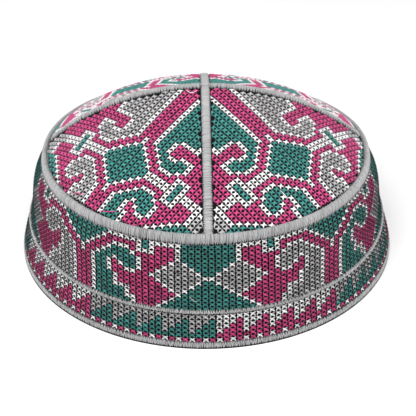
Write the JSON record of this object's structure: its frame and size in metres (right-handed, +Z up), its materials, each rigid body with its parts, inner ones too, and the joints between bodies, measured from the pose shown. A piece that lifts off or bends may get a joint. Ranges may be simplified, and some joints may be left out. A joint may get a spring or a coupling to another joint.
{
  "type": "kufi cap",
  "caption": "Stiff embroidered kufi cap: flared round side band under a low crown of creased panels, with satin-wound seams and an open rim.",
  "frame": {"origin": "middle of the open rim, on the surface that the cap rests on", "axes": "+Z up, -Y towards the front of the cap, +X to the right as the cap is seen from the front"},
  "size_m": [0.1926, 0.1925, 0.0861],
  "materials": {
    "crown_embroidery": "cross-stitch in fuchsia, teal green, white and grey thread on black canvas",
    "band_embroidery": "cross-stitch in fuchsia, teal green, white and grey thread on black canvas",
    "satin_thread": "satin-stitched grey thread with a soft sheen"
  },
  "bodies": {
    "root": {"crown_panel_front_left": "crown_embroidery", "crown_panel_front_right": "crown_embroidery", "crown_panel_back_left": "crown_embroidery", "crown_panel_back_right": "crown_embroidery", "seam_strip_front_back": "satin_thread", "seam_strip_left": "satin_thread", "seam_strip_right": "satin_thread", "crown_roll": "satin_thread", "side_band": "band_embroidery", "divider_braid": "satin_thread", "hem_binding": "satin_thread"}
  },
  "joints": []
}
